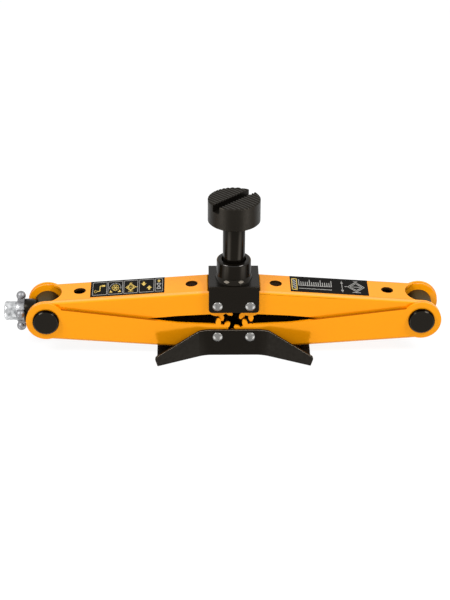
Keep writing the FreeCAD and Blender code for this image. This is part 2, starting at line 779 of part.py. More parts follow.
pieces = [thing for thing in doc.Objects if thing.TypeId in ("PartDesign::Body", "Part::Compound")]
for piece in pieces:
    if piece.Shape.isNull() or not piece.Shape.isValid():
        raise RuntimeError(f"{piece.Label} has no valid shape")

os.makedirs("parts", exist_ok=True)
for piece in pieces:
    piece.Shape.exportStep(f"parts/{piece.Label}.step")
    print(f"{piece.Label}: {len(piece.Shape.Solids)} solid(s), {piece.Shape.Volume:.0f} mm3")
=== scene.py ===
import json
import math
from collections import namedtuple
import bmesh
import bpy
from mathutils import Matrix, Vector

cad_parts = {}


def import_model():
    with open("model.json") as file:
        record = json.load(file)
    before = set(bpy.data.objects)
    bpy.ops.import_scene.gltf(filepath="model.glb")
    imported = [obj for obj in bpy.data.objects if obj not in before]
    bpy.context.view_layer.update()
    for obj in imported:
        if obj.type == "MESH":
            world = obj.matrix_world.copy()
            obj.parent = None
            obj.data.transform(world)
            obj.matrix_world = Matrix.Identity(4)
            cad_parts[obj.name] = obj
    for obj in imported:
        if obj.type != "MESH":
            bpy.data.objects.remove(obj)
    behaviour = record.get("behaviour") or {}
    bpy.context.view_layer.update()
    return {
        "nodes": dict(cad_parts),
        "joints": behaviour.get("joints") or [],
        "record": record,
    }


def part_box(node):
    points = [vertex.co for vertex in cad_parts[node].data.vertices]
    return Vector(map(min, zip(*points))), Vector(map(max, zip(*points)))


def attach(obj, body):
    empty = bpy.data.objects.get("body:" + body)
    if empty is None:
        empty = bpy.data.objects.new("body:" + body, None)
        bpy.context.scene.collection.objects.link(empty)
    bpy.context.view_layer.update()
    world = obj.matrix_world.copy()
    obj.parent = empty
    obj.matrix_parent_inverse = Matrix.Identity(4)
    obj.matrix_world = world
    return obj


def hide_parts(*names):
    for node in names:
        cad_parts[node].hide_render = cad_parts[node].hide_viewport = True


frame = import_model()
nodes = frame["nodes"]

MM = 0.001
MICRON = 0.001 * MM
FULL_TURN = 2 * math.pi
UP = Vector((0, 0, 1))

# Places on the jack, in metres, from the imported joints
JOINTS = {joint["name"]: joint for joint in frame["joints"]}
LEFT_PIN = Vector(JOINTS["drive_trunnion_pivot"]["pos_m"])
RIGHT_PIN = Vector(JOINTS["nut_trunnion_pivot"]["pos_m"])
LEFT_TOP = Vector(JOINTS["bracket_left_pivot"]["pos_m"])
RIGHT_TOP = Vector(JOINTS["bracket_right_pivot"]["pos_m"])

# The arms: half of the width over their flanges, and the sheet that they are pressed from
LOWER_ARM_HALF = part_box("lower_arm_left")[1][1]
UPPER_ARM_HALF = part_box("upper_arm_left")[1][1]
ARM_SHEET = 3 * MM

# The upper arms' webs: their height over the line of the pins, its fall along the arm, and their bends
WEB_HEIGHT = 21.7 * MM
WEB_END_HEIGHT = 17.1 * MM
WEB_LENGTH = 180 * MM
WEB_FALL = (WEB_HEIGHT - WEB_END_HEIGHT) / WEB_LENGTH
WEB_BEND = 3.2 * MM
WEB_FLAT_HALF = UPPER_ARM_HALF - WEB_BEND

# Where the arms' finish and painted shade change: round the ears, as far as the flanges nest, and on faces
# that look inwards
EAR_EDGE = 22 * MM
EAR_FADE = 8 * MM
NEST_END = 118 * MM
INSIDE_LEAN = 0.4 * MM
FACING_WEB = 0.5
ARM_FLAKE = 0.36

# Where a painted highlight runs along a bend: how far its surface leans to the side there, with soft ends
BEND_START = (0.05, 0.2)
BEND_END = (0.85, 0.65)
BEND_UPRIGHT = (0.3, 0.5)

# Where the collar's mouth is rubbed: how far up its chamfer faces, and how far down that goes
RIM_SLOPE = 0.7
RIM_SLOPE_REACH = 0.25
RIM_DEPTH = 2 * MM

# The cross bars: where the painted shade ring round their ends starts, out from the bar's middle line
BAR_SHADE_START = 13.5 * MM

# The drive coupling's barrel, and how its finish changes to that of the lugs
BARREL_RADIUS = 10.5 * MM
CAST_FADE = 1.5 * MM

# Where the base carries a painted highlight: how far outwards and upwards the rounded edge faces there
EDGE_LEAN = 0.6
EDGE_LEAN_REACH = 0.25
EDGE_LIFT = 0.45

# Colours, in linear light. A pair is the two tones that a finish wanders between
ORANGE = ((0.97, 0.345, 0.002), (0.95, 0.333, 0.002))
# Painted highlight along the outer web bends of the arms
BEND_PAINTED_HIGHLIGHT = (0.95, 0.40, 0.085)
# Painted shade inside the arms' channels, away from the ears
CHANNEL_PAINTED_SHADE = (0.055, 0.026, 0.007)
# Painted shade: a dark line on the flange edges where the arms nest
GAP_PAINTED_SHADE = (0.34, 0.10, 0.001)
# Dark grease between the ears, which is partly painted shade
GREASE_AND_SHADE = (0.035, 0.024, 0.008)
PLAIN_BLACK = ((0.0030, 0.0023, 0.0016), (0.0038, 0.0030, 0.0022))
ENAMEL_BLACK = ((0.0026, 0.0020, 0.0014), (0.0032, 0.0026, 0.0019))
WELD_BLACK = ((0.0026, 0.0021, 0.0016), (0.0034, 0.0028, 0.0022))
BASE_BLACK = ((0.0026, 0.0020, 0.0013), (0.0032, 0.0025, 0.0018))
HEAD_BLACK = ((0.0044, 0.0036, 0.0026), (0.0066, 0.0058, 0.0046))
BAR_BLACK = ((0.0034, 0.0027, 0.0020), (0.0042, 0.0034, 0.0026))
# Painted shade: a dark metal ring round the ends of the cross bars
BAR_PAINTED_SHADE = (0.002, 0.0016, 0.0012)
# Painted shade in the saddle head's slot and grooves
GROOVE_PAINTED_SHADE = (0.003, 0.0025, 0.002)
# Wear and a painted highlight on the crests of the serrations
CREST_WEAR_AND_HIGHLIGHT = (0.022, 0.0205, 0.018)
# Painted highlight along the base's outer top edges
EDGE_PAINTED_HIGHLIGHT = (0.32, 0.29, 0.24)
RUBBED_RIM = (0.034, 0.032, 0.030)
MACHINED_ZINC = ((0.80, 0.81, 0.82), (0.27, 0.275, 0.28))
CAST_ZINC = (0.24, 0.24, 0.247)
RIVET_ZINC = ((0.26, 0.255, 0.245), (0.17, 0.167, 0.16))
DARK_STEEL = ((0.016, 0.0155, 0.0145), (0.010, 0.0095, 0.009))
LABEL_BLACK = ((0.0040, 0.0036, 0.0030), (0.0055, 0.0050, 0.0042))
LABEL_PALE = ((0.36, 0.35, 0.33), (0.30, 0.29, 0.27))
LABEL_YELLOW = ((0.66, 0.47, 0.12), (0.58, 0.41, 0.10))

# The least roughness of grease and of metal left as cast
GREASE_ROUGH = 0.6
CAST_ROUGH = 0.5

# The colour of a paint's gloss: plain, and warm on the black pieces
PLAIN_GLOSS = (1, 1, 1)
WARM_GLOSS = (1, 0.88, 0.72)

# The part of a noise's range that is used
NOISE_RANGE = (0.3, 0.7)

# The noises of a paint's tone, roughness and peel: cells to the metre, and detail
PAINT_NOISES = ((18, 4), (260, 3), (900, 2))
PEEL_STRENGTH = 0.35

# The noises of plated steel's tone, roughness and grain: cells as a share of the grain's, and detail
PLATED_NOISES = ((1.0, 5), (1.7, 4), (1.3, 3))
GRAIN_STRENGTH = 0.6

# Soft edges: the seams that are closed, the bend that still counts as flat, and the rounding
SEAM_GAP = 0.01 * MM
FLAT_ANGLE = math.radians(0.5)
EDGE_ANGLE = math.radians(40)
EDGE_SEGMENTS = 2
EDGE_WIDTH = 0.5 * MM
BAR_EDGE_WIDTH = 0.25 * MM
EDGE_WIDTHS = {
    "top_bracket": 1.0 * MM,
    "base_plate": 0.6 * MM,
    "trunnion_drive": BAR_EDGE_WIDTH,
    "trunnion_nut": BAR_EDGE_WIDTH,
}

# The saddle head's serrations, its rim, and how level a face may be that is still part of its round wall
RIDGE_PITCH = 4.2 * MM
RIDGE_DEPTH = 1.6 * MM
RIDGE_LAND = 0.7 * MM
SLOT_ANGLE = math.radians(45)
HEAD_RIM = 1.2 * MM
WALL_LEVEL = 0.8
# How far down from the top the lighter crests reach; below that is painted shade
CREST_BAND = 0.3 * MM

# The screw
THREAD_PITCH = 4 * MM
THREAD_DEPTH = 2 * MM
THREAD_CREST = 1.2 * MM
THREAD_ROOT = 2.6 * MM
THREAD_SINK = 0.5 * MM
THREAD_LEAST = 0.05
THREAD_STEPS = 24
SCREW_RADIUS = 8 * MM
SCREW_SHOULDER = 15.3 * MM
SCREW_CHAMFER = 1.5 * MM
JOURNAL_RADIUS = 7 * MM
JOURNAL_CHAMFER = 0.75 * MM
ROUND_STEPS = 48
SCREW_SMOOTH = math.radians(35)

# The weld under the collar: its size at the sides and at the front, its bulge, ripples and unevenness
COLLAR_RADIUS = 19 * MM
WELD_WIDE_SIDE = 1.5 * MM
WELD_WIDE_FRONT = 4.4 * MM
WELD_HIGH_SIDE = 3.4 * MM
WELD_HIGH_FRONT = 5.0 * MM
WELD_BULGE = 0.35 * MM
WELD_BULGE_SHARE = 0.7
WELD_RIPPLE = 0.03 * MM
WELD_RIPPLE_DROP = 0.5
WELD_RIPPLES = 40
WELD_UNEVEN = 0.1
WELD_WAVES = (5, 2)
WELD_STEPS = 240
WELD_ARC_STEPS = 8
WELD_SMOOTH = math.radians(50)

# The label plates on the webs
PLATE_THICK = 0.12 * MM
PLATE_SINK = 0.05 * MM
PLATE_NEAR = -16.6 * MM
PLATE_WRAP = math.radians(36)
PLATE_STEPS = 24

# The figures on the plates: the numbers of their inks, their height and stretch, and lines in millimetres
PALE, YELLOW = 1, 2
LINE_HEIGHT = 0.05 * MM
FIGURE_STRETCH = 1.8
FRAME_WIDTH = 0.5
LINE_WIDTH = 0.6
BOLD_WIDTH = 0.9
ARC_STEPS = 28
ARROW_STEM = 0.36
ARROW_HEAD = 0.6

# The floor: its reach and drop, its tone as a source of light, and its shade and glow where it is seen
FLOOR_REACH = 8
FLOOR_DROP = 0.2 * MM
FLOOR_TONE = 0.45
FLOOR_SHADE = 0.14
FLOOR_GLOW = 0.90

# The surround: its level as light and where it is seen
SURROUND_LIGHT = 0.42
SURROUND_SEEN = 1.0

# The soft cards that reflections show: their glow, and the soft edges in their direction and height
CARD_GLOW = 3.5
CARD_OUTER = (0.15, 0.55)
CARD_INNER = (0.90, 0.6)
CARD_FOOT = (-0.85, -0.65)
CARD_HEAD = (-0.08, -0.28)

# The lamps: where they look, and their places and sizes in metres, and powers in watts
LAMP_TARGET = Vector((0, 0, 0.06))
STRIP_OUT = 1.19
STRIP_FRONT = -0.63
STRIP_HEIGHT = 1.36
STRIP_SIZE = (0.6, 0.8)
STRIP_POWER = 25
FILL_PLACE = Vector((0, -1.6, 0.6))
FILL_SIZE = (1.6, 1.0)
FILL_POWER = 6

# The camera: the angles of its view, what it looks at and from how far, and its lens
VIEW_AZIMUTH = math.radians(-1.011)
VIEW_ELEVATION = math.radians(28.359)
VIEW_ROLL = math.radians(0.285)
VIEW_TARGET = Vector((-0.009477, 0, 0.054161))
VIEW_DISTANCE = 2.37946
VIEW_END = 50
FOCAL_PIXELS = 2142.617
PICTURE_HEIGHT = 600
SENSOR_WIDTH = 36


# Node sums


class Level:
    """A number that nodes work out at each point or for each ray. Sums with it add nodes to its tree."""

    def __init__(self, tree, socket):
        self.tree = tree
        self.socket = socket

    def worked_out(self, operation, other=0):
        """The result of an operation with a number or another level."""
        node = self.tree.nodes.new("ShaderNodeMath")
        node.operation = operation
        self.tree.links.new(self.socket, node.inputs[0])
        if isinstance(other, Level):
            self.tree.links.new(other.socket, node.inputs[1])
        else:
            node.inputs[1].default_value = other
        return Level(self.tree, node.outputs[0])

    def __add__(self, other):
        return self.worked_out("ADD", other)

    def __sub__(self, other):
        return self.worked_out("SUBTRACT", other)

    def __mul__(self, other):
        return self.worked_out("MULTIPLY", other)

    def __truediv__(self, other):
        return self.worked_out("DIVIDE", other)

    def __abs__(self):
        return self.worked_out("ABSOLUTE")

    def __lt__(self, other):
        return self.worked_out("LESS_THAN", other)

    def __gt__(self, other):
        return self.worked_out("GREATER_THAN", other)

    def __and__(self, other):
        return self.worked_out("MINIMUM", other)

    def __or__(self, other):
        return self.worked_out("MAXIMUM", other)

    def __invert__(self):
        return self * -1 + 1

    def mapped(self, start, end, low=0, high=1, interpolation="LINEAR"):
        """The level carried over from one range to another, and held at its ends."""
        node = self.tree.nodes.new("ShaderNodeMapRange")
        node.interpolation_type = interpolation
        for name, value in (("From Min", start), ("From Max", end), ("To Min", low), ("To Max", high)):
            node.inputs[name].default_value = value
        self.tree.links.new(self.socket, node.inputs["Value"])
        return Level(self.tree, node.outputs["Result"])

    def rise(self, start, end):
        """A smooth step from 0 to 1 as the level goes from start to end."""
        return self.mapped(start, end, interpolation="SMOOTHSTEP")


Parts = namedtuple("Parts", "x y z")


def parts_of(tree, vector):
    """The X, Y and Z of a vector, as levels."""
    node = tree.nodes.new("ShaderNodeSeparateXYZ")
    tree.links.new(vector, node.inputs[0])
    return Parts(*(Level(tree, part) for part in node.outputs))


def distance(first, second):
    """The length of two steps at right angles."""
    return (first * first + second * second).worked_out("SQRT")


# Materials


def shader_input(material, name):
    """An input of a material's main shader."""
    return material.node_tree.nodes["Principled BSDF"].inputs[name]


def feed(material, name, level):
    """Lets a level set an input of a material's main shader."""
    level.tree.links.new(level.socket, shader_input(material, name))


def noise(tree, place, scale, detail):
    """A noise over the object's own metres."""
    texture = tree.nodes.new("ShaderNodeTexNoise")
    texture.inputs["Scale"].default_value = scale
    texture.inputs["Detail"].default_value = detail
    tree.links.new(place, texture.inputs["Vector"])
    return Level(tree, texture.outputs["Fac"])


def blended(mask, first, second):
    """The socket of a colour between two others. Either of them may itself be a socket."""
    mix = mask.tree.nodes.new("ShaderNodeMix")
    mix.data_type = "RGBA"
    mask.tree.links.new(mask.socket, mix.inputs["Factor"])
    for name, colour in (("A", first), ("B", second)):
        if isinstance(colour, tuple):
            mix.inputs[name].default_value = (*colour, 1)
        else:
            mask.tree.links.new(colour, mix.inputs[name])
    return mix.outputs["Result"]


def grained(name, tones, rough, noises, height, strength):
    """A material whose tone, roughness and fine relief each follow a noise of their own."""
    material = bpy.data.materials.new(name)
    material.use_nodes = True
    tree = material.node_tree
    place = tree.nodes.new("ShaderNodeTexCoord").outputs["Object"]
    tone, dullness, relief = (noise(tree, place, scale, detail) for scale, detail in noises)
    base = shader_input(material, "Base Color")
    base.default_value = (*tones[0], 1)
    tree.links.new(blended(tone.mapped(*NOISE_RANGE), *tones), base)
    shader_input(material, "Roughness").default_value = rough[0]
    feed(material, "Roughness", dullness.mapped(*NOISE_RANGE, *rough))
    bump = tree.nodes.new("ShaderNodeBump")
    bump.inputs["Strength"].default_value = strength
    bump.inputs["Distance"].default_value = height
    tree.links.new(relief.socket, bump.inputs["Height"])
    tree.links.new(bump.outputs["Normal"], shader_input(material, "Normal"))
    return material


def paint(name, tones, rough, peel, gloss, tint=WARM_GLOSS):
    """Sprayed paint: two close tones, uneven gloss and a fine orange peel."""
    material = grained(name, tones, rough, PAINT_NOISES, peel, PEEL_STRENGTH)
    shader_input(material, "Specular IOR Level").default_value = gloss
    shader_input(material, "Specular Tint").default_value = (*tint, 1)
    return material


def plated(name, tones, rough, grain, depth):
    """Plated steel: mottled brightness and a soft cast grain."""
    noises = [(grain * share, detail) for share, detail in PLATED_NOISES]
    material = grained(name, tones, rough, noises, depth, GRAIN_STRENGTH)
    shader_input(material, "Metallic").default_value = 1
    return material


def surface_of(material):
    """The way that a material's surface faces, and its place, both in the object's own frame."""
    tree = material.node_tree
    place = tree.nodes.new("ShaderNodeTexCoord")
    return parts_of(tree, place.outputs["Normal"]), parts_of(tree, place.outputs["Object"])


def overpaint(material, mask, colour):
    """Another colour where a mask is 1."""
    base = shader_input(material, "Base Color")
    mask.tree.links.new(blended(mask, base.links[0].from_socket, colour), base)


def roughen(material, mask, least):
    """At least a given roughness where a mask is 1."""
    rough = shader_input(material, "Roughness")
    before = Level(mask.tree, rough.links[0].from_socket)
    feed(material, "Roughness", before | mask * least)


def shaded_grease_middle(material, half_length):
    """Dark dull grease over the middle of a cross bar or a rivet, between the flanges that it goes through;
    partly painted shade.
    """
    _, spot = surface_of(material)
    middle = abs(spot.y) < half_length
    # Painted shade in part: the middle's dark grease
    overpaint(material, middle, GREASE_AND_SHADE)
    roughen(material, middle, GREASE_ROUGH)
    return middle


def arm_paint(name, pin, open_way, inner_half):
    """Glossy orange paint with fine metal flake, a painted highlight along the web bends, a plain coat
    inside the ears, painted shade inside the channel, and a painted shade line along the edges where the
    flanges nest."""
    material = paint(name, ORANGE, rough=(0.10, 0.16), peel=10 * MICRON, gloss=0.22, tint=PLAIN_GLOSS)
    way, spot = surface_of(material)
    sideways = way.y * spot.y
    on_flange = sideways < -INSIDE_LEAN
    facing_web = way.z * open_way > FACING_WEB
    between = abs(spot.y) < inner_half
    inside = on_flange | (facing_web & between)
    reach = distance(spot.x - pin.x, spot.z - pin.z)
    past_ear = reach.rise(EAR_EDGE, EAR_EDGE + EAR_FADE)
    # Painted shade inside the channel, fading in past the ear
    overpaint(material, inside * past_ear, CHANNEL_PAINTED_SHADE)
    nested = (reach > EAR_EDGE) * reach.rise(NEST_END + EAR_FADE, NEST_END)
    # Painted shade along the flange edges where the arms nest
    overpaint(material, facing_web * ~between * nested, GAP_PAINTED_SHADE)
    lean = abs(way.y)
    on_bend = lean.rise(*BEND_START) * lean.rise(*BEND_END)
    upright = (way.z * -open_way).rise(*BEND_UPRIGHT)
    # Painted highlight along the outer web bends
    overpaint(material, on_bend * upright * (sideways > 0), BEND_PAINTED_HIGHLIGHT)
    in_ear = inside * ~past_ear
    feed(material, "Metallic", ~in_ear * ARM_FLAKE)
    return material


def bar_finish(name, pin, painted_from):
    """A cross bar: dark dull grease between the ears, partly painted shade, and glossy black ends with a
    painted shade rim.
    """
    material = paint(name, BAR_BLACK, rough=(0.12, 0.18), peel=10 * MICRON, gloss=0.2)
    middle = shaded_grease_middle(material, painted_from)
    _, spot = surface_of(material)
    outermost = distance(spot.x - pin.x, spot.z - pin.z) > BAR_SHADE_START
    line = outermost & ~middle
    # Painted shade ring round each black end
    overpaint(material, line, BAR_PAINTED_SHADE)
    feed(material, "Metallic", line)
    return material


def rivet_finish(name, bare_from):
    """A zinc rivet with bright heads and a greased shank, its dark tone partly painted shade."""
    material = plated(name, RIVET_ZINC, rough=(0.22, 0.32), grain=420, depth=80 * MICRON)
    shaded_grease_middle(material, bare_from)
    return material


def coupling_finish(name, axis_height):
    """Zinc: a machined barrel, and lugs left as cast, which are greyer and duller."""
    material = plated(name, MACHINED_ZINC, rough=(0.18, 0.30), grain=260, depth=120 * MICRON)
    _, spot = surface_of(material)
    off_axis = distance(spot.y, spot.z - axis_height)
    cast = off_axis.rise(BARREL_RADIUS, BARREL_RADIUS + CAST_FADE)
    overpaint(material, cast, CAST_ZINC)
    roughen(material, cast, CAST_ROUGH)
    return material


def base_paint(name):
    """Black paint, with a painted highlight along the outer top edges of the flanges."""
    material = paint(name, BASE_BLACK, rough=(0.42, 0.54), peel=30 * MICRON, gloss=0.11)
    way, spot = surface_of(material)
    outward = way.y * spot.y.worked_out("SIGN")
    on_edge = abs(outward - EDGE_LEAN) < EDGE_LEAN_REACH
    upward = way.z > EDGE_LIFT
    # Painted highlight along the rounded outer top edges
    overpaint(material, on_edge & upward, EDGE_PAINTED_HIGHLIGHT)
    return material


def enamel(name):
    """Smooth black enamel."""
    return paint(name, ENAMEL_BLACK, rough=(0.09, 0.14), peel=4 * MICRON, gloss=0.14)


def collar_paint(name, top):
    """Black enamel, rubbed to dark metal along the chamfer of the mouth."""
    material = enamel(name)
    way, spot = surface_of(material)
    sloped = abs(way.z - RIM_SLOPE) < RIM_SLOPE_REACH
    at_mouth = spot.z > top - RIM_DEPTH
    rubbed = sloped & at_mouth
    overpaint(material, rubbed, RUBBED_RIM)
    feed(material, "Metallic", rubbed)
    return material


def head_paint(name, top, radius):
    """Cast black paint, with painted shade in the slot and the grooves, and crests lighter from wear and a
    painted highlight.
    """
    material = paint(name, HEAD_BLACK, rough=(0.30, 0.42), peel=100 * MICRON, gloss=0.15)
    _, spot = surface_of(material)
    inside = distance(spot.x, spot.y) < radius - HEAD_RIM
    low = spot.z < top - CREST_BAND
    high = spot.z > top - CREST_BAND
    # Painted shade in the slot and the grooves
    overpaint(material, inside & low, GROOVE_PAINTED_SHADE)
    # Lighter crests: wear and a painted highlight
    overpaint(material, inside & high, CREST_WEAR_AND_HIGHLIGHT)
    return material


WELDED = paint("black_weld", WELD_BLACK, rough=(0.08, 0.13), peel=8 * MICRON, gloss=0.20)
HEAD = head_paint("black_cast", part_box("saddle_head")[1][2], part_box("saddle_head")[1][0])
STEEL = plated("steel", DARK_STEEL, rough=(0.36, 0.50), grain=260, depth=60 * MICRON)
RIVET = rivet_finish("rivet_zinc", UPPER_ARM_HALF)
INKS = [
    paint("label_black", LABEL_BLACK, rough=(0.34, 0.44), peel=10 * MICRON, gloss=0.02),
    paint("label_pale", LABEL_PALE, rough=(0.34, 0.42), peel=10 * MICRON, gloss=0.04),
    paint("label_yellow", LABEL_YELLOW, rough=(0.34, 0.42), peel=10 * MICRON, gloss=0.04),
]

FINISHES = {
    "black_paint": paint("black_paint", PLAIN_BLACK, rough=(0.20, 0.28), peel=30 * MICRON, gloss=0.14),
    "black_enamel": enamel("black_enamel"),
    "zinc": coupling_finish("zinc", LEFT_PIN.z),
    "steel": STEEL,
}
FINISHES_BY_NODE = {
    "base_plate": base_paint("black_base"),
    "saddle_collar": collar_paint("black_collar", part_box("saddle_collar")[1][2]),
}
for trunnion, pin in (("trunnion_drive", LEFT_PIN), ("trunnion_nut", RIGHT_PIN)):
    FINISHES_BY_NODE[trunnion] = bar_finish(f"bar_{trunnion}", pin, LOWER_ARM_HALF)
for side, pin in (("left", LEFT_PIN), ("right", RIGHT_PIN)):
    for seat in ("base", "bracket"):
        FINISHES_BY_NODE[f"{seat}_rivet_{side}"] = RIVET
    # A lower arm's channel opens upwards, and an upper arm's downwards
    for height, open_way in (("lower", 1), ("upper", -1)):
        arm_name = f"{height}_arm_{side}"
        inner_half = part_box(arm_name)[1][1] - ARM_SHEET
        FINISHES_BY_NODE[arm_name] = arm_paint(f"orange_{arm_name}", pin, open_way, inner_half)


# Finishes and soft edges of the solids


def close_seams(piece):
    """Joins the points that lie on each other along a piece's seams."""
    weld = piece.modifiers.new("Weld", "WELD")
    weld.merge_threshold = SEAM_GAP


def soften(piece, width):
    """Closed seams, whole flat faces, and narrow round edges that catch the light."""
    close_seams(piece)
    whole = piece.modifiers.new("Whole faces", "DECIMATE")
    whole.decimate_type = "DISSOLVE"
    whole.angle_limit = FLAT_ANGLE
    edges = piece.modifiers.new("Edges", "BEVEL")
    edges.width = width
    edges.segments = EDGE_SEGMENTS
    edges.limit_method = "ANGLE"
    edges.angle_limit = EDGE_ANGLE
    edges.harden_normals = True


def dress_nodes():
    """Gives each CAD node its finish and its soft edges."""
    for entry in frame["record"]["subparts"]:
        name = entry["node"]
        node = nodes[name]
        node.data.materials.clear()
        node.data.materials.append(FINISHES_BY_NODE.get(name) or FINISHES[entry["material_slot"]])
        soften(node, EDGE_WIDTHS.get(name, EDGE_WIDTH))


dress_nodes()


# Pieces


def new_piece(name, mesh, materials, body):
    """A piece from a mesh, with its materials, that rides on a body."""
    piece = bpy.data.objects.new(name, mesh)
    bpy.context.scene.collection.objects.link(piece)
    for material in materials:
        mesh.materials.append(material)
    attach(piece, body)
    return piece


def finished_mesh(shape, name, smooth_angle=None):
    """A bmesh as a mesh, with its faces turned outwards and, up to an angle between them, smooth."""
    bmesh.ops.recalc_face_normals(shape, faces=shape.faces)
    mesh = bpy.data.meshes.new(name)
    shape.to_mesh(mesh)
    shape.free()
    if smooth_angle is not None:
        mesh.shade_smooth()
        mesh.set_sharp_from_angle(angle=smooth_angle)
    return mesh


def lofted(shape, rings, closed_along=False, slot_number=0):
    """Faces between closed rings of points. An open row of rings gets a cap at each end."""
    rows = [[shape.verts.new(point) for point in ring] for ring in rings]
    pairs = list(zip(rows, rows[1:]))
    made = []
    if closed_along:
        pairs.append((rows[-1], rows[0]))
    else:
        made += [shape.faces.new(rows[0]), shape.faces.new(rows[-1])]
    for first, second in pairs:
        for number in range(len(first)):
            following = (number + 1) % len(first)
            corners = (first[number], first[following], second[following], second[number])
            made.append(shape.faces.new(corners))
    for face in made:
        face.material_index = slot_number


# Saddle head with serrations across the slot


def ridge_cutter(top):
    """One V-shaped bar for each groove between the serrations."""
    low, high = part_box("saddle_head")
    reach = (high[0] - low[0]) / 2 + RIDGE_PITCH
    along = Vector((math.cos(SLOT_ANGLE), math.sin(SLOT_ANGLE), 0))
    across = Vector((-along.y, along.x, 0))
    half_open = (RIDGE_PITCH - RIDGE_LAND) / 2
    above = RIDGE_DEPTH / 2
    half_above = half_open * (RIDGE_DEPTH + above) / RIDGE_DEPTH
    count = math.ceil(reach / RIDGE_PITCH)
    shape = bmesh.new()
    for number in range(-count, count + 1):
        middle = along * (number * RIDGE_PITCH) + UP * top
        section = (
            middle - UP * RIDGE_DEPTH,
            middle + along * half_above + UP * above,
            middle - along * half_above + UP * above,
        )
        lofted(shape, [[point + across * side * reach for point in section] for side in (-1, 1)])
    return finished_mesh(shape, "ridge_cutter")


def round_the_wall(mesh, radius):
    """Smooth normals on the head's round wall and chamfers, and flat ones on the grooves and the slot."""
    normals = [None] * len(mesh.loops)
    for face in mesh.polygons:
        nearest = min(mesh.vertices[number].co.xy.length for number in face.vertices)
        rounded = nearest > radius - HEAD_RIM and abs(face.normal.z) < WALL_LEVEL
        for loop in face.loop_indices:
            outward = mesh.vertices[mesh.loops[loop].vertex_index].co.xy.normalized()
            flat_share = math.sqrt(1 - face.normal.z ** 2)
            turned = Vector((outward.x * flat_share, outward.y * flat_share, face.normal.z))
            normals[loop] = turned if rounded else face.normal.copy()
    mesh.shade_smooth()
    mesh.normals_split_custom_set(normals)


def saddle_head():
    """The head's solid with V grooves cut across the slot, as one piece in its place."""
    _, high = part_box("saddle_head")
    solid = nodes["saddle_head"].data.copy()
    solid.materials.clear()
    head = new_piece("ridged_head", solid, [HEAD], "saddle")
    bars = bpy.data.objects.new("ridge_cutter", ridge_cutter(high[2]))
    bpy.context.scene.collection.objects.link(bars)
    close_seams(head)
    grooves = head.modifiers.new("Grooves", "BOOLEAN")
    grooves.operation = "DIFFERENCE"
    grooves.solver = "EXACT"
    grooves.object = bars
    seen = head.evaluated_get(bpy.context.evaluated_depsgraph_get())
    cut = bpy.data.meshes.new_from_object(seen)
    head.modifiers.clear()
    head.data = cut
    cut.materials.clear()
    cut.materials.append(HEAD)
    for face in cut.polygons:
        face.material_index = 0
    round_the_wall(cut, high[0])
    bpy.data.objects.remove(bars)
    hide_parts("saddle_head")


# Threaded screw


def on_screw(x, radius, turn):
    """A point at a radius and an angle round the screw's axis."""
    return Vector((x, radius * math.cos(turn), LEFT_PIN.z + radius * math.sin(turn)))


def screw_ring(x, radius):
    """A ring of points round the screw's axis."""
    return [on_screw(x, radius, FULL_TURN * number / ROUND_STEPS) for number in range(ROUND_STEPS)]


def screw():
    """A plain core with its journal and tip, and a trapezoidal thread wound round it."""
    low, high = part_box("lead_screw")
    start, end = low[0], high[0]
    shoulder = LEFT_PIN.x + SCREW_SHOULDER
    root = SCREW_RADIUS - THREAD_DEPTH
    shape = bmesh.new()
    lofted(shape, [
        screw_ring(start, JOURNAL_RADIUS - JOURNAL_CHAMFER),
        screw_ring(start + JOURNAL_CHAMFER, JOURNAL_RADIUS),
        screw_ring(shoulder, JOURNAL_RADIUS),
        screw_ring(shoulder, root),
        screw_ring(end - SCREW_CHAMFER, root),
        screw_ring(end, root - SCREW_CHAMFER),
    ])
    wound_length = end - shoulder - SCREW_CHAMFER - THREAD_ROOT
    steps = int(wound_length / THREAD_PITCH * THREAD_STEPS)
    foot = root - THREAD_SINK
    rings = []
    for number in range(steps + 1):
        turns = number / THREAD_STEPS
        turns_left = (steps - number) / THREAD_STEPS
        crest = root + THREAD_DEPTH * max(min(1, turns, turns_left), THREAD_LEAST)
        middle = shoulder + THREAD_ROOT / 2 + THREAD_PITCH * turns
        section = (
            (middle - THREAD_ROOT / 2, foot),
            (middle - THREAD_CREST / 2, crest),
            (middle + THREAD_CREST / 2, crest),
            (middle + THREAD_ROOT / 2, foot),
        )
        rings.append([on_screw(x, radius, FULL_TURN * turns) for x, radius in section])
    lofted(shape, rings)
    mesh = finished_mesh(shape, "threaded_screw", SCREW_SMOOTH)
    piece = new_piece("threaded_screw", mesh, [STEEL], "screw")
    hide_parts("lead_screw")


# Weld bead round the foot of the collar


def weld_section(turn, swell):
    """The bead's outline at an angle round the collar, as radii and heights over the bracket."""
    frontal = math.sin(turn) ** 2
    first_wave, second_wave = WELD_WAVES
    uneven = 1 + WELD_UNEVEN * math.sin(first_wave * turn) * math.cos(second_wave * turn)
    wide = WELD_WIDE_SIDE + (WELD_WIDE_FRONT - WELD_WIDE_SIDE) * frontal * uneven
    tall = WELD_HIGH_SIDE + (WELD_HIGH_FRONT - WELD_HIGH_SIDE) * frontal * uneven
    inner = COLLAR_RADIUS - WELD_WIDE_SIDE / 2
    section = [(inner, 0), (inner, tall)]
    for step in range(WELD_ARC_STEPS + 1):
        share = step / WELD_ARC_STEPS
        lift = (WELD_BULGE + swell) * math.sin(math.pi * share) * WELD_BULGE_SHARE
        section.append((COLLAR_RADIUS + share * wide + lift, (1 - share) * tall + lift))
    return section


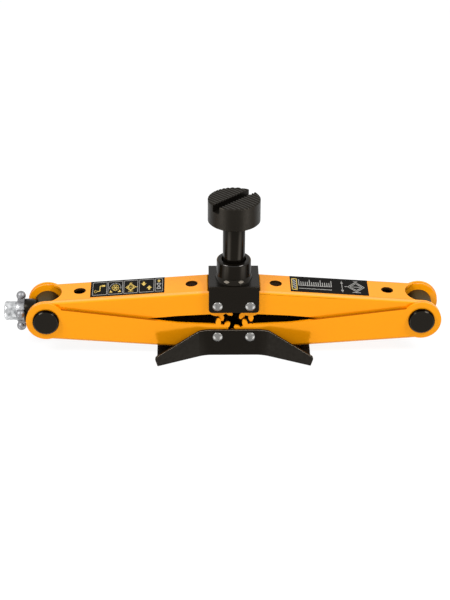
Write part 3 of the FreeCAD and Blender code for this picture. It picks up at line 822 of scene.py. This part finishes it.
def weld_bead():
    """A faintly rippled fillet of weld round the foot of the collar, wider at the front and the back."""
    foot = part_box("saddle_collar")[0][2]
    rings = []
    for number in range(WELD_STEPS):
        turn = FULL_TURN * number / WELD_STEPS
        beat = (number * WELD_RIPPLES / WELD_STEPS) % 1
        swell = WELD_RIPPLE * (math.sin(math.pi * beat) - WELD_RIPPLE_DROP * beat)
        rings.append([
            Vector((radius * math.cos(turn), radius * math.sin(turn), foot + height))
            for radius, height in weld_section(turn, swell)
        ])
    shape = bmesh.new()
    lofted(shape, rings, closed_along=True)
    mesh = finished_mesh(shape, "weld_bead", WELD_SMOOTH)
    new_piece("weld_bead", mesh, [WELDED], "bracket")


# Label plates on the upper webs


class Web:
    """The top of an upper arm's web as a sheet: along from the pin, across the jack, and out from it."""

    def __init__(self, pin, pivot):
        self.pin = pin
        self.along = (pivot - pin).normalized()
        self.across = Vector((0, 1, 0))
        self.up = self.along.cross(self.across)
        if self.up.z < 0:
            self.up = -self.up
        self.out = (self.up + self.along * WEB_FALL).normalized()

    def point(self, along, across, out):
        """A place on the web, which follows its round far edge where it goes past the flat."""
        surface = self.pin + self.along * along + self.up * (WEB_HEIGHT - WEB_FALL * along)
        past = across - WEB_FLAT_HALF
        if past <= 0:
            return surface + self.across * across + self.out * out
        turn = past / WEB_BEND
        reach = WEB_BEND + out
        edge = surface + self.across * WEB_FLAT_HALF - self.out * WEB_BEND
        return edge + self.across * (reach * math.sin(turn)) + self.out * (reach * math.cos(turn))


class Label:
    """A thin plate on a web, and the figures printed on it, in millimetres from its start and middle line.
    The figures are stretched across the arm, to look upright from the front."""

    def __init__(self, web, start, length, middle):
        self.web = web
        self.start = start * MM
        self.middle = middle * MM
        self.shape = bmesh.new()
        self.plate(self.start, self.start + length * MM)

    def plate(self, start, end):
        """The label's own thin sheet, wrapped over the far bend."""
        far = WEB_FLAT_HALF + WEB_BEND * PLATE_WRAP
        rings = []
        for number in range(PLATE_STEPS + 1):
            across = PLATE_NEAR + (far - PLATE_NEAR) * number / PLATE_STEPS
            rings.append([
                self.web.point(start, across, -PLATE_SINK),
                self.web.point(end, across, -PLATE_SINK),
                self.web.point(end, across, PLATE_THICK),
                self.web.point(start, across, PLATE_THICK),
            ])
        lofted(self.shape, rings)

    def point(self, x, y, out):
        """A place over the plate."""
        return self.web.point(self.start + x * MM, self.middle + y * MM * FIGURE_STRETCH, out)

    def patch(self, corners, ink):
        """A patch with straight sides."""
        levels = (0, PLATE_THICK + LINE_HEIGHT)
        rings = [[self.point(x, y, out) for x, y in corners] for out in levels]
        lofted(self.shape, rings, slot_number=ink)

    def line(self, points, ink, width=LINE_WIDTH):
        """A line through points, as low flat bars."""
        for first, second in zip(points, points[1:]):
            start, end = Vector(first), Vector(second)
            way = (end - start).normalized() * (width / 2)
            side = Vector((-way.y, way.x))
            self.patch((start - way - side, end + way - side, end + way + side, start - way + side), ink)

    def loop(self, points, ink, width=LINE_WIDTH):
        """A line that comes back to its first point."""
        self.line([*points, points[0]], ink, width)

    def box(self, start, end, half_tall, ink, width):
        """A frame about the middle line."""
        corners = [(start, -half_tall), (end, -half_tall), (end, half_tall), (start, half_tall)]
        self.loop(corners, ink, width)

    def arc(self, centre, half_long, half_tall, ink, width, first=0, last=360):
        """A stretch of an oval between two angles in degrees."""
        points = []
        for number in range(ARC_STEPS + 1):
            turn = math.radians(first + (last - first) * number / ARC_STEPS)
            points.append((centre[0] + half_long * math.cos(turn), centre[1] + half_tall * math.sin(turn)))
        self.line(points, ink, width)

    def arrow(self, centre, half_wide, tall, ink):
        """A block arrow that points away from the viewer, or towards them where its height is negative."""
        x, y = centre
        stem = half_wide * ARROW_STEM
        tip = y + tall * ARROW_HEAD
        tail = y - tall * (1 - ARROW_HEAD)
        self.patch([(x - half_wide, y), (x + half_wide, y), (x, tip)], ink)
        self.patch([(x - stem, tail), (x + stem, tail), (x + stem, y), (x - stem, y)], ink)

    def linkage(self, centre, half_long, half_tall, ink):
        """Four folding arms on a foot, with their screw and saddle, as a plain line drawing."""
        inner_size = 0.72
        half_screw = half_long * 0.5
        drive_end = half_long * 1.35
        half_foot = half_long * 0.45
        half_saddle = half_long * 0.22
        stand_off = half_tall * 1.14
        x, y = centre
        for size in (1, inner_size):
            self.loop([
                (x - half_long * size, y),
                (x, y + half_tall * size),
                (x + half_long * size, y),
                (x, y - half_tall * size),
            ], ink)
        self.line([(x - half_screw, y), (x + half_screw, y)], ink)
        self.line([(x + half_long, y), (x + drive_end, y)], ink)
        self.line([(x - half_foot, y - stand_off), (x + half_foot, y - stand_off)], ink)
        self.line([(x - half_saddle, y + stand_off), (x + half_saddle, y + stand_off)], ink)

    def finish(self, name, body):
        """The label as a piece that rides on an arm."""
        new_piece(name, finished_mesh(self.shape, name), INKS, body)


def crank_figure(label, middle):
    """A crank handle: an eye, a rod with two elbows, and a thick grip."""
    half_long = 4.6
    half_tall = 3.4
    eye = 1.3
    elbow = middle + 0.2
    rod_end = middle + 2.2
    grip_start = middle + 2.8
    grip_width = 2.2
    label.arc((middle - half_long, -half_tall), eye, eye, YELLOW, BOLD_WIDTH)
    label.line([
        (middle - half_long + eye, -half_tall),
        (elbow, -half_tall),
        (elbow, half_tall),
        (rod_end, half_tall),
    ], YELLOW, BOLD_WIDTH)
    label.line([(grip_start, half_tall), (middle + half_long, half_tall)], YELLOW, grip_width)


def wheel_figure(label, middle):
    """A hand wheel with six spokes, under an arc with an arrowhead at each end."""
    wheel_radius = 3.5
    rim_width = 1.1
    spokes = 6
    spoke_start, spoke_end = 0.5, 2.6
    arc_half_long, arc_half_tall = 6.2, 5.8
    arc_first, arc_last = -10, 190
    head_inner, head_outer, head_top = 2.8, 6.4, 5.2
    head_low, head_high = -5.9, -2.9
    label.arc((middle, 0), arc_half_long, arc_half_tall, PALE, BOLD_WIDTH, arc_first, arc_last)
    label.arc((middle, 0), wheel_radius, wheel_radius, YELLOW, rim_width)
    hub = Vector((middle, 0))
    for number in range(spokes):
        turn = FULL_TURN * number / spokes
        spoke = Vector((math.cos(turn), math.sin(turn)))
        label.line([hub + spoke * spoke_start, hub + spoke * spoke_end], YELLOW)
    for side in (-1, 1):
        label.patch([
            (middle + side * head_inner, head_low),
            (middle + side * head_outer, head_low),
            (middle + side * head_top, head_high),
        ], YELLOW)


def two_ways_figure(label, middle):
    """An arrow down and an arrow up."""
    left, right = middle - 3.2, middle + 3.0
    height = 3.2
    half_wide = 3.0
    tall = 5.4
    label.arrow((left, height), half_wide, -tall, YELLOW)
    label.arrow((right, -height), half_wide, tall, YELLOW)


def load_figure(label, middle):
    """Crossed arms between two plates, under an arrow up."""
    arrow_height, arrow_half_wide, arrow_tall = 5.0, 2.1, 3.6
    plate_half = 2.0
    plate_heights = (2.0, -4.8)
    arm_half = 1.8
    arm_high, arm_low = 1.0, -3.8
    label.arrow((middle, arrow_height), arrow_half_wide, arrow_tall, YELLOW)
    for height in plate_heights:
        label.line([(middle - plate_half, height), (middle + plate_half, height)], PALE, BOLD_WIDTH)
    for side in (-1, 1):
        ends = [(middle - side * arm_half, arm_high), (middle + side * arm_half, arm_low)]
        label.line(ends, PALE, BOLD_WIDTH)


def left_label():
    """Five framed panels: a crank, a turning wheel, the linkage, two arrows and a lifted load."""
    length = 82
    half_tall = 8.1
    panel_shares = ((0.03, 0.22), (0.238, 0.433), (0.452, 0.637), (0.66, 0.857), (0.876, 0.973))
    linkage_height, linkage_half_long, linkage_half_tall = -0.6, 5.4, 4.6
    label = Label(Web(LEFT_PIN, LEFT_TOP), start=51, length=length, middle=1.9)
    panels = [(first * length, last * length) for first, last in panel_shares]
    for start, end in panels:
        label.box(start, end, half_tall, PALE, FRAME_WIDTH)
    crank, wheel, linkage, two_ways, load = [(start + end) / 2 for start, end in panels]
    crank_figure(label, crank)
    wheel_figure(label, wheel)
    label.linkage((linkage, linkage_height), linkage_half_long, linkage_half_tall, YELLOW)
    two_ways_figure(label, two_ways)
    load_figure(label, load)
    label.finish("left_label", "upper_arm_left")


def height_figure(label, place, half_tall):
    """A double arrow for a height."""
    head_half_wide = 1.6
    head_start = 0.6
    label.line([(place, -half_tall), (place, half_tall)], PALE)
    for tip in (-half_tall, half_tall):
        foot = tip * head_start
        label.patch([(place, tip), (place - head_half_wide, foot), (place + head_half_wide, foot)], PALE)


def scale_figure(label, start):
    """A graduated scale, with a longer mark at every fifth, over a plain line."""
    pitch = 2.4
    marks = 15
    long_every = 5
    base_height, marks_foot, line_height = -1.2, -0.4, -5.2
    long_tall, short_tall = 6.4, 3.6
    end = start + pitch * marks
    label.line([(start, base_height), (end, base_height)], PALE)
    for mark in range(marks + 1):
        tall = short_tall if mark % long_every else long_tall
        place = start + pitch * mark
        label.line([(place, marks_foot), (place, marks_foot + tall)], PALE, BOLD_WIDTH)
    label.line([(start, line_height), (end, line_height)], PALE)


def hatched_box(label, start, end, half_tall):
    """A frame with slanted strokes in it."""
    strokes = 4
    pitch = 2.9
    lowest = -4.4
    margin = 1.4
    stroke_fall, stroke_rise, stroke_width = 1, 1.2, 1.2
    label.box(start, end, half_tall, YELLOW, BOLD_WIDTH)
    for number in range(strokes):
        height = lowest + pitch * number
        ends = [(start + margin, height - stroke_fall), (end - margin, height + stroke_rise)]
        label.line(ends, PALE, stroke_width)


def right_label():
    """A plain field with a drawing of the linkage, a double arrow, a graduated scale and a hatched box."""
    half_tall = 7
    linkage_place, linkage_half_long, linkage_half_tall = (13.4, 0.5), 9.3, 6.2
    arrow_place = 29
    scale_start = 41
    box_start, box_end = 79.4, 84.8
    label = Label(Web(RIGHT_PIN, RIGHT_TOP), start=60.2, length=86.8, middle=1.0)
    label.linkage(linkage_place, linkage_half_long, linkage_half_tall, PALE)
    height_figure(label, arrow_place, half_tall)
    scale_figure(label, scale_start)
    hatched_box(label, box_start, box_end, half_tall)
    label.finish("right_label", "upper_arm_right")


saddle_head()
screw()
weld_bead()
left_label()
right_label()


# Stage, light and camera


def seen_ray(tree):
    """1 for rays that show the background itself: from the camera, or by a reflection or a refraction."""
    rays = tree.nodes.new("ShaderNodeLightPath").outputs
    straight, reflected, refracted = (
        Level(tree, rays[name]) for name in ("Is Camera Ray", "Is Glossy Ray", "Is Transmission Ray")
    )
    return straight | reflected | refracted


def grey(tree, tone):
    """The output of a plain grey shader."""
    shader = tree.nodes.new("ShaderNodeBsdfDiffuse")
    shader.inputs["Color"].default_value = (tone, tone, tone, 1)
    return shader.outputs[0]


def floor_material():
    """White where it is seen, with a faint grey that keeps the jack's shadow, and plain grey as light."""
    material = bpy.data.materials.new("floor")
    material.use_nodes = True
    tree = material.node_tree
    tree.nodes.clear()
    glow = tree.nodes.new("ShaderNodeEmission")
    glow.inputs["Strength"].default_value = FLOOR_GLOW
    shown = tree.nodes.new("ShaderNodeAddShader")
    tree.links.new(grey(tree, FLOOR_SHADE), shown.inputs[0])
    tree.links.new(glow.outputs[0], shown.inputs[1])
    choice = tree.nodes.new("ShaderNodeMixShader")
    tree.links.new(seen_ray(tree).socket, choice.inputs["Fac"])
    tree.links.new(grey(tree, FLOOR_TONE), choice.inputs[1])
    tree.links.new(shown.outputs[0], choice.inputs[2])
    output = tree.nodes.new("ShaderNodeOutputMaterial")
    tree.links.new(choice.outputs[0], output.inputs["Surface"])
    return material


def floor():
    """A wide floor under the jack, left out of reflections."""
    mesh = bpy.data.meshes.new("floor")
    corners = [(x * FLOOR_REACH, y * FLOOR_REACH, 0) for x, y in ((-1, -1), (1, -1), (1, 1), (-1, 1))]
    mesh.from_pydata(corners, [], [range(len(corners))])
    mesh.materials.append(floor_material())
    plane = bpy.data.objects.new("floor", mesh)
    plane.location.z = -FLOOR_DROP
    plane.visible_glossy = False
    bpy.context.scene.collection.objects.link(plane)


def reflected_cards(tree):
    """How brightly a reflection shows one of two soft cards, low down at the front left and right."""
    place = tree.nodes.new("ShaderNodeTexCoord")
    way = parts_of(tree, place.outputs["Generated"])
    forward = way.y * -1 / distance(way.x, way.y)
    rays = tree.nodes.new("ShaderNodeLightPath")
    card = Level(tree, rays.outputs["Is Glossy Ray"]) * CARD_GLOW
    edges = ((forward, CARD_OUTER), (forward, CARD_INNER), (way.z, CARD_FOOT), (way.z, CARD_HEAD))
    for value, edge in edges:
        card = card * value.rise(*edge)
    return card


def world():
    """An even surround, white where it is seen and softer as light, with soft cards in reflections."""
    made = bpy.data.worlds.new("studio")
    made.use_nodes = True
    made.cycles.sampling_method = "NONE"
    tree = made.node_tree
    background = tree.nodes["Background"]
    background.inputs["Color"].default_value = (1, 1, 1, 1)
    surround = seen_ray(tree).mapped(0, 1, SURROUND_LIGHT, SURROUND_SEEN)
    strength = surround + reflected_cards(tree)
    tree.links.new(strength.socket, background.inputs["Strength"])
    bpy.context.scene.world = made


def softbox(name, place, size, power, mirrored=True):
    """A rectangular area lamp that looks at the jack, and may be left out of reflections."""
    lamp = bpy.data.lights.new(name, "AREA")
    lamp.shape = "RECTANGLE"
    lamp.size, lamp.size_y = size
    lamp.energy = power
    holder = bpy.data.objects.new(name, lamp)
    holder.location = place
    holder.rotation_euler = (LAMP_TARGET - place).to_track_quat("-Z", "Y").to_euler()
    holder.visible_glossy = mirrored
    bpy.context.scene.collection.objects.link(holder)


def camera():
    """The photograph's view: a long lens from the front, a little above."""
    level_share = math.cos(VIEW_ELEVATION)
    back = Vector((
        math.sin(VIEW_AZIMUTH) * level_share,
        -math.cos(VIEW_AZIMUTH) * level_share,
        math.sin(VIEW_ELEVATION),
    ))
    right = Vector((math.cos(VIEW_AZIMUTH), math.sin(VIEW_AZIMUTH), 0))
    up = back.cross(right)
    turned_right = right * math.cos(VIEW_ROLL) + up * math.sin(VIEW_ROLL)
    turned_up = up * math.cos(VIEW_ROLL) - right * math.sin(VIEW_ROLL)
    turn = Matrix((turned_right, turned_up, back)).transposed().to_4x4()
    lens = bpy.data.cameras.new("camera")
    lens.sensor_width = SENSOR_WIDTH
    # The picture is upright, so the sensor's width lies along its height
    lens.lens = FOCAL_PIXELS / PICTURE_HEIGHT * SENSOR_WIDTH
    lens.clip_end = VIEW_END
    holder = bpy.data.objects.new("camera", lens)
    holder.matrix_world = Matrix.Translation(VIEW_TARGET + back * VIEW_DISTANCE) @ turn
    bpy.context.scene.collection.objects.link(holder)
    bpy.context.scene.camera = holder


floor()
world()
for side, out in (("left", -STRIP_OUT), ("right", STRIP_OUT)):
    softbox(f"strip_{side}", Vector((out, STRIP_FRONT, STRIP_HEIGHT)), STRIP_SIZE, STRIP_POWER)
softbox("fill", FILL_PLACE, FILL_SIZE, FILL_POWER, mirrored=False)
camera()
bpy.context.scene.view_settings.view_transform = "Standard"
